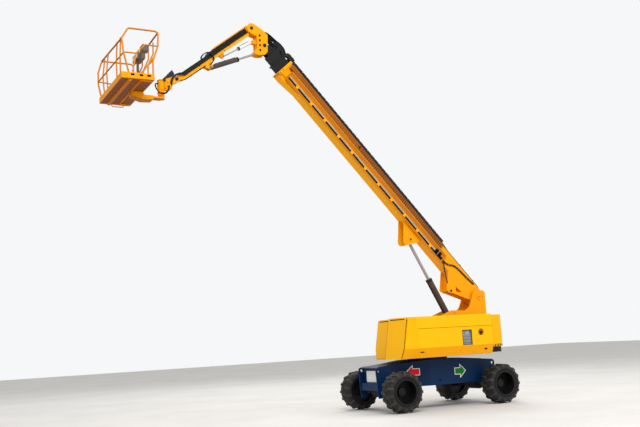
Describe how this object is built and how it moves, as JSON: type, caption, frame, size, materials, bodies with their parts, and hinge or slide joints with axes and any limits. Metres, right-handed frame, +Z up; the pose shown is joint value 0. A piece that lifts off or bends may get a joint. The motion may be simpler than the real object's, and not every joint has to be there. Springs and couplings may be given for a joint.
{
  "type": "telescopic boom lift with articulating jib",
  "caption": "Self-propelled telescopic boom lift with a slewing turret, a levelled head and jib, and a railed work platform, standing with its boom raised.",
  "frame": {"origin": "on the ground under the slewing axis", "axes": "+Z up, +X forward along the boom as parked, +Y to the machine's left"},
  "size_m": [9.9069, 2.456, 9.512],
  "materials": {
    "hood_paint": "gloss",
    "boom_paint": "gloss",
    "chassis_paint": "gloss",
    "dark_steel": "satin",
    "cast_weight": "satin",
    "black_cast": "satin",
    "tyre_rubber": "matte",
    "rim_paint": "satin",
    "cylinder_dark": "satin",
    "rod_grey": "satin",
    "cylinder_white": "satin",
    "machinery": "matte",
    "tank": "matte",
    "controls": "satin",
    "carrier_brown": "satin",
    "carrier_black": "satin",
    "chain_grey": "satin",
    "platform_paint": "satin",
    "hose_rubber": "matte"
  },
  "bodies": {
    "chassis": {"chassis_frame": "chassis_paint", "slew_ring": "dark_steel", "front_axle": "dark_steel", "rear_axle": "dark_steel", "steering_barrel": "cylinder_dark"},
    "turret": {"turret_frame": "boom_paint", "slot_sheets": "dark_steel", "counterweight": "cast_weight", "counterweight_base": "black_cast", "engine_block": "machinery", "tank_block": "tank", "ground_controls": "controls", "cover_front_left": "hood_paint", "cover_front_right": "hood_paint"},
    "hood_left": {"hood_left": "hood_paint"},
    "hood_right": {"hood_right": "hood_paint"},
    "boom_outer": {"boom_outer": "boom_paint", "cable_tray": "boom_paint", "tray_chain": "chain_grey", "ribbed_carrier": "carrier_brown", "top_carrier": "carrier_black", "boom_hoses": "hose_rubber"},
    "boom_mid": {"boom_mid": "dark_steel"},
    "boom_inner": {"boom_inner": "dark_steel"},
    "head": {"head_bracket": "boom_paint"},
    "jib": {"jib_arm": "boom_paint", "jib_hoses": "hose_rubber"},
    "platform_mount": {"platform_mount": "boom_paint"},
    "platform": {"platform_support": "platform_paint", "platform_floor": "platform_paint", "platform_rails": "platform_paint", "platform_console": "controls"},
    "lift_barrel": {"lift_barrel": "cylinder_dark"},
    "lift_rod": {"lift_rod": "rod_grey"},
    "jib_ram_barrel": {"jib_ram_barrel": "cylinder_dark"},
    "jib_ram_rod": {"jib_ram_rod": "rod_grey"},
    "level_barrel": {"level_barrel": "cylinder_white"},
    "level_rod": {"level_rod": "rod_grey"},
    "knuckle_left": {"knuckle_left": "dark_steel"},
    "knuckle_right": {"knuckle_right": "dark_steel"},
    "track_rod": {"track_rod": "dark_steel"},
    "steering_rod": {"steering_rod": "rod_grey"},
    "wheel_front_left": {"tyre_front_left": "tyre_rubber", "rim_front_left": "rim_paint"},
    "wheel_front_right": {"tyre_front_right": "tyre_rubber", "rim_front_right": "rim_paint"},
    "wheel_rear_left": {"tyre_rear_left": "tyre_rubber", "rim_rear_left": "rim_paint"},
    "wheel_rear_right": {"tyre_rear_right": "tyre_rubber", "rim_rear_right": "rim_paint"}
  },
  "joints": [
    {"name": "slew", "type": "hinge", "parent": "chassis", "child": "turret", "pos_m": [0, 0, 1.235], "axis": [0, 0, 1], "continuous": true},
    {"name": "hood_left_lid", "type": "hinge", "parent": "turret", "child": "hood_left", "pos_m": [0, 0.31, 2.192], "axis": [1, 0, 0], "range_deg": [0, 60]},
    {"name": "hood_right_lid", "type": "hinge", "parent": "turret", "child": "hood_right", "pos_m": [0, -0.31, 2.192], "axis": [-1, 0, 0], "range_deg": [0, 60]},
    {"name": "boom_lift", "type": "hinge", "parent": "turret", "child": "boom_outer", "pos_m": [-1.65, 0, 2.7], "axis": [0, -1, 0], "range_deg": [-47.6, 17.4]},
    {"name": "boom_telescope", "type": "slide", "parent": "boom_outer", "child": "boom_mid", "axis": [0.6743, 0, 0.7385], "range_m": [0, 5.8]},
    {"name": "boom_telescope_inner", "type": "slide", "parent": "boom_mid", "child": "boom_inner", "axis": [0.6743, 0, 0.7385], "range_m": [0, 5.8]},
    {"name": "head_level", "type": "hinge", "parent": "boom_inner", "child": "head", "pos_m": [4.16634, 0, 8.98072], "axis": [0, -1, 0], "range_deg": [-17.4, 47.6]},
    {"name": "jib_lift", "type": "hinge", "parent": "head", "child": "jib", "pos_m": [4.49, 0, 9.39], "axis": [0, -1, 0], "range_deg": [-17.6, 32.4]},
    {"name": "platform_level", "type": "hinge", "parent": "jib", "child": "platform_mount", "pos_m": [6.41248, 0, 7.92015], "axis": [0, -1, 0], "range_deg": [-32.4, 17.6]},
    {"name": "platform_rotate", "type": "hinge", "parent": "platform_mount", "child": "platform", "pos_m": [6.76, 0, 7.6], "axis": [0, 0, 1], "range_deg": [-90, 90]},
    {"name": "lift_barrel_swing", "type": "hinge", "parent": "turret", "child": "lift_barrel", "pos_m": [-1.21, 0, 1.371], "axis": [0, -1, 0], "range_deg": [-36.41, 13.31]},
    {"name": "lift_rod_stroke", "type": "slide", "parent": "lift_barrel", "child": "lift_rod", "axis": [0.4764, 0, 0.8792], "range_m": [-0.95955, 0.35076]},
    {"name": "jib_ram_swing", "type": "hinge", "parent": "jib", "child": "jib_ram_barrel", "pos_m": [5.55837, 0, 8.30127], "axis": [0, -1, 0], "range_deg": [-0.35, 0.65]},
    {"name": "jib_ram_stroke", "type": "slide", "parent": "jib_ram_barrel", "child": "jib_ram_rod", "axis": [-0.9276, 0, 0.3737], "range_m": [-0.17816, 0.32798]},
    {"name": "level_barrel_swing", "type": "hinge", "parent": "head", "child": "level_barrel", "pos_m": [4.46, 0, 9.072], "axis": [0, -1, 0], "range_deg": [-19.8, 36.45]},
    {"name": "level_rod_stroke", "type": "slide", "parent": "level_barrel", "child": "level_rod", "axis": [0.8588, 0, -0.5122], "range_m": [-0.08232, 0.15155]},
    {"name": "steer_left", "type": "hinge", "parent": "chassis", "child": "knuckle_left", "pos_m": [1.456, 0.8, 0.4825], "axis": [0, 0, 1], "range_deg": [-30, 30]},
    {"name": "steer_right", "type": "hinge", "parent": "chassis", "child": "knuckle_right", "pos_m": [1.456, -0.8, 0.4825], "axis": [0, 0, 1], "range_deg": [-30, 30]},
    {"name": "track_rod_swing", "type": "hinge", "parent": "knuckle_left", "child": "track_rod", "pos_m": [1.241, 0.8, 0.4215], "axis": [0, 0, 1], "range_deg": [-30, 30]},
    {"name": "steering_rod_stroke", "type": "slide", "parent": "chassis", "child": "steering_rod", "axis": [0, 1, 0], "range_m": [-0.08508, 0.08508]},
    {"name": "wheel_front_left", "type": "hinge", "parent": "knuckle_left", "child": "wheel_front_left", "pos_m": [1.456, 1.015, 0.4825], "axis": [0, 1, 0], "continuous": true},
    {"name": "wheel_front_right", "type": "hinge", "parent": "knuckle_right", "child": "wheel_front_right", "pos_m": [1.456, -1.015, 0.4825], "axis": [0, 1, 0], "continuous": true},
    {"name": "wheel_rear_left", "type": "hinge", "parent": "chassis", "child": "wheel_rear_left", "pos_m": [-1.456, 1.015, 0.4825], "axis": [0, 1, 0], "continuous": true},
    {"name": "wheel_rear_right", "type": "hinge", "parent": "chassis", "child": "wheel_rear_right", "pos_m": [-1.456, -1.015, 0.4825], "axis": [0, 1, 0], "continuous": true}
  ],
  "couplings": [
    {"joint": "boom_telescope_inner", "follows": "boom_telescope", "ratio": 1},
    {"joint": "head_level", "follows": "boom_lift", "ratio": -1},
    {"joint": "lift_barrel_swing", "follows": "boom_lift", "ratio": 0.765},
    {"joint": "lift_rod_stroke", "follows": "boom_lift", "m_per_rad": 1.155},
    {"joint": "platform_level", "follows": "jib_lift", "ratio": -1},
    {"joint": "jib_ram_swing", "follows": "jib_lift", "ratio": 0.02},
    {"joint": "jib_ram_stroke", "follows": "jib_lift", "m_per_rad": 0.58},
    {"joint": "level_barrel_swing", "follows": "jib_lift", "ratio": 1.125},
    {"joint": "level_rod_stroke", "follows": "jib_lift", "m_per_rad": 0.268},
    {"joint": "steer_right", "follows": "steer_left", "ratio": 1},
    {"joint": "track_rod_swing", "follows": "steer_left", "ratio": -1},
    {"joint": "steering_rod_stroke", "follows": "steer_left", "m_per_rad": -0.1625}
  ]
}
